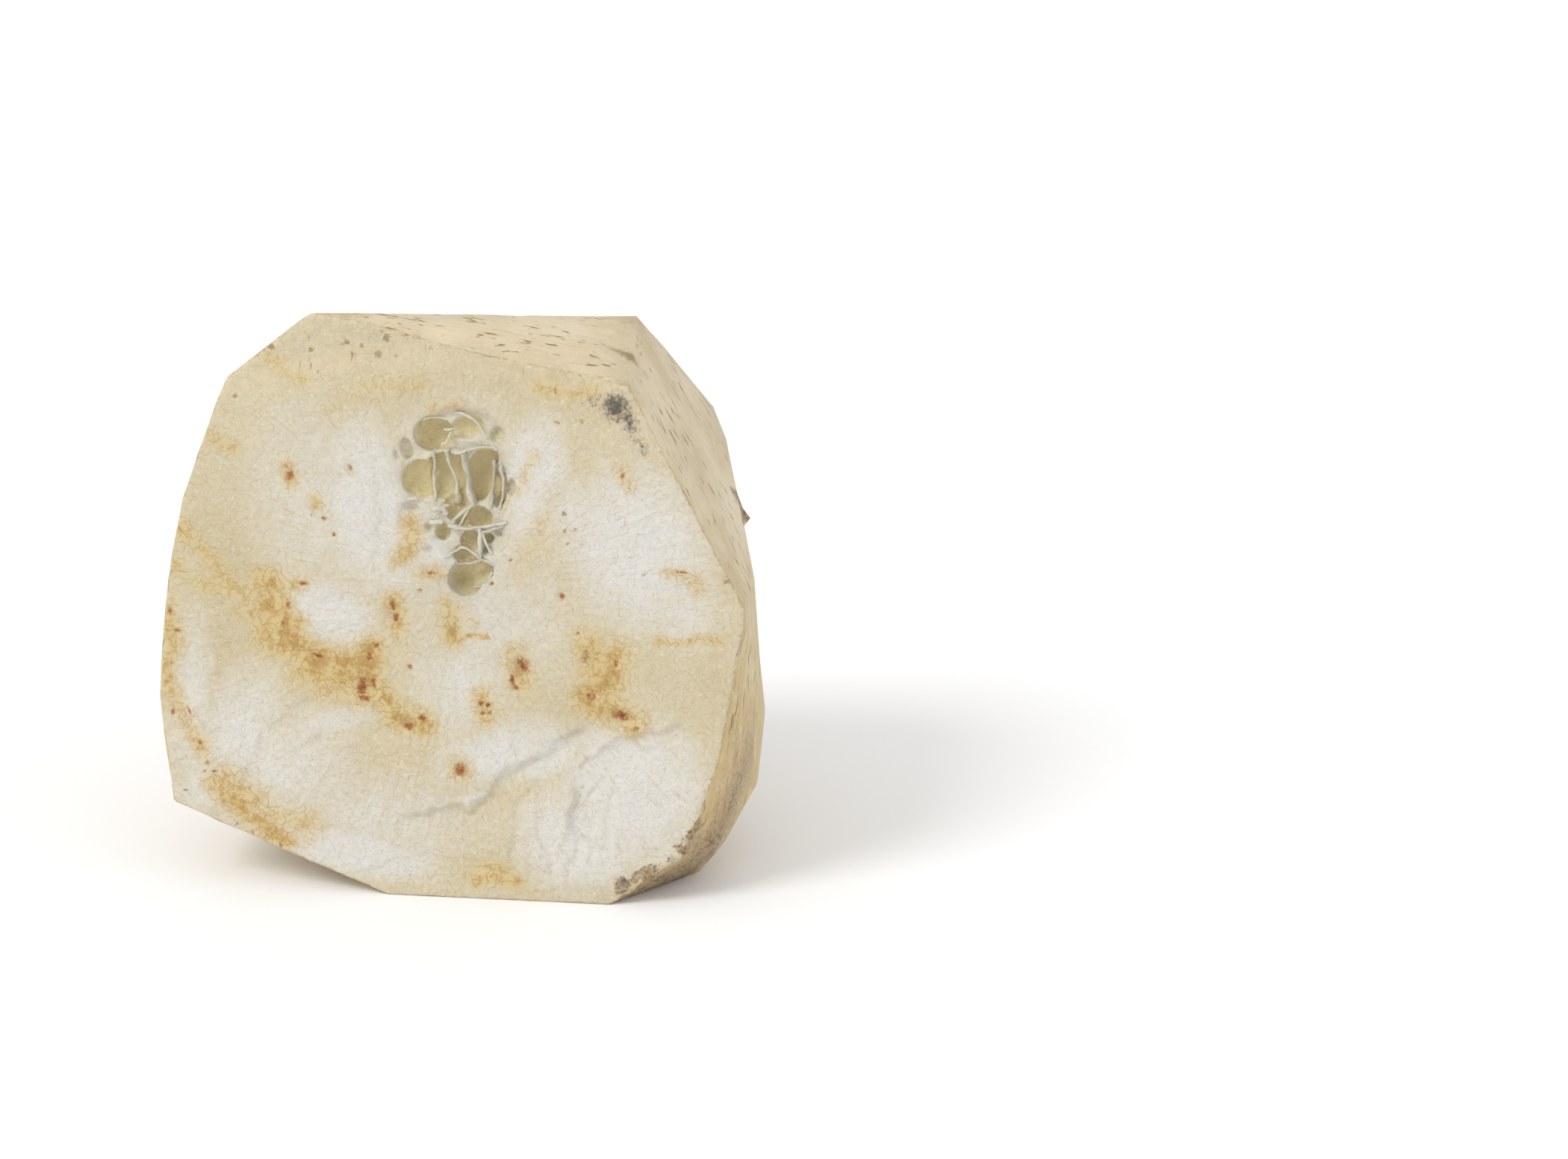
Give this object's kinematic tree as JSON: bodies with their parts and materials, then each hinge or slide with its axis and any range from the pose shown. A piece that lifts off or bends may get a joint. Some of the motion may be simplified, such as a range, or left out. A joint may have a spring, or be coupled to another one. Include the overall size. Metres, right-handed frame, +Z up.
{
  "type": "celeriac root",
  "caption": "Peeled celeriac root cut in half, with a flat cut face, a hollow of torn pith and long knife-cut flats, standing on one of the flats.",
  "frame": {"origin": "middle of the bounding box's bottom, on the surface the half stands on", "axes": "+Z up; the cut face looks towards -Y and leans back 8 degrees; +X is to the right as one looks at the cut face"},
  "size_m": [0.1176, 0.081, 0.1166],
  "materials": {
    "root_flesh": "damp raw flesh, cream to white, with ochre and rust-brown marks where side roots grew"
  },
  "bodies": {
    "root": {"celeriac_root": "root_flesh"}
  },
  "joints": []
}
